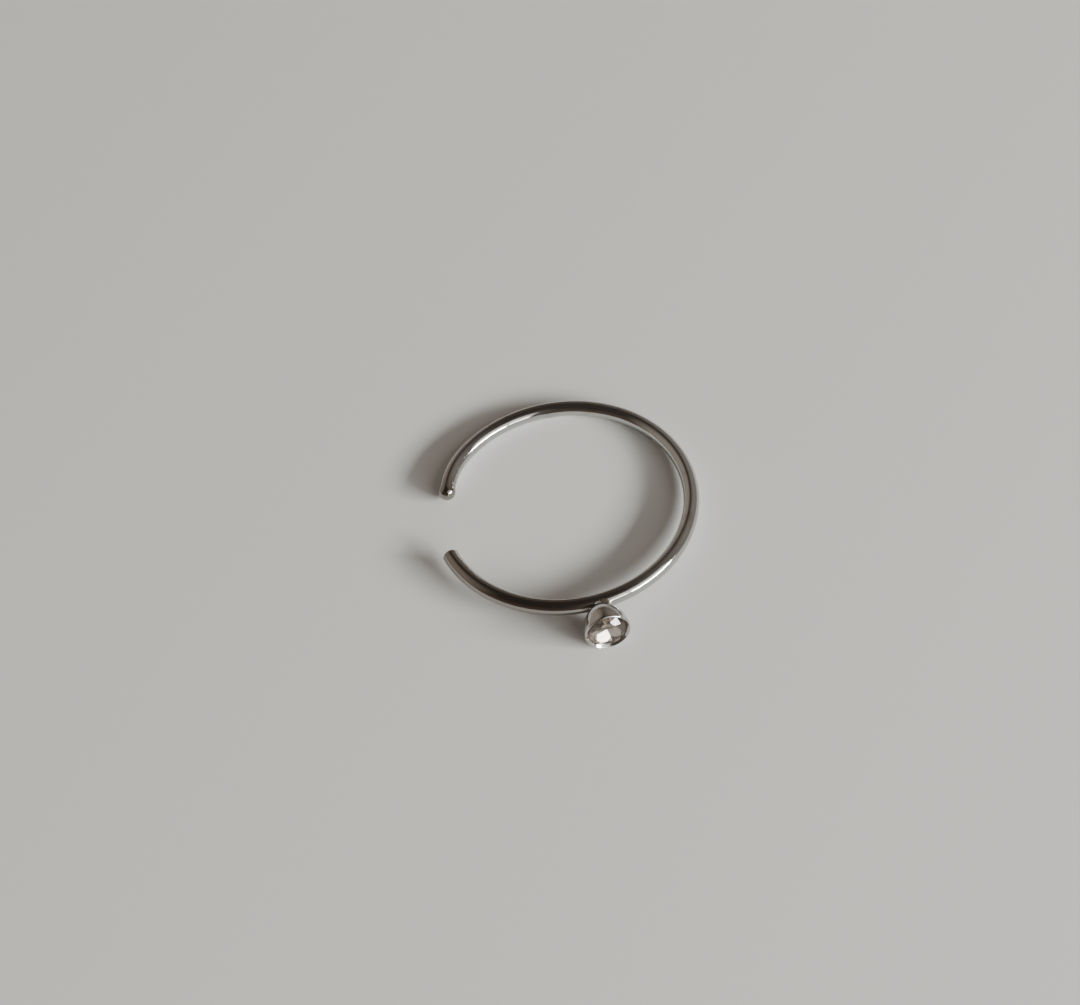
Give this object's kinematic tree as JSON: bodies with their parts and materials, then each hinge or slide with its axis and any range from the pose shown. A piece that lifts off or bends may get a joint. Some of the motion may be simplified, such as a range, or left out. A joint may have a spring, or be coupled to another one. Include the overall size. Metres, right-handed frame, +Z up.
{
  "type": "clip-on nose ring",
  "caption": "Open hoop of round polished steel wire that clips on the nostril between a balled and a plain end, with a small soldered cup holding a clear brilliant-cut stone.",
  "frame": {"origin": "middle of the ring's bounding box in plan, at the surface the ring lies on", "axes": "+Z up from the surface; -Y from the hoop's middle to the cup; -X to the clip gap, with the balled end further back and the plain end nearer the cup"},
  "size_m": [0.01, 0.0116, 0.0017],
  "materials": {
    "polished_steel": "polished stainless steel wire with fine drawing lines and light wear",
    "clear_crystal": "clear crystal glass, brilliant-cut in front with a shallow silvered back, polished"
  },
  "bodies": {
    "root": {"hoop_and_cup": "polished_steel", "stone": "clear_crystal"}
  },
  "joints": []
}
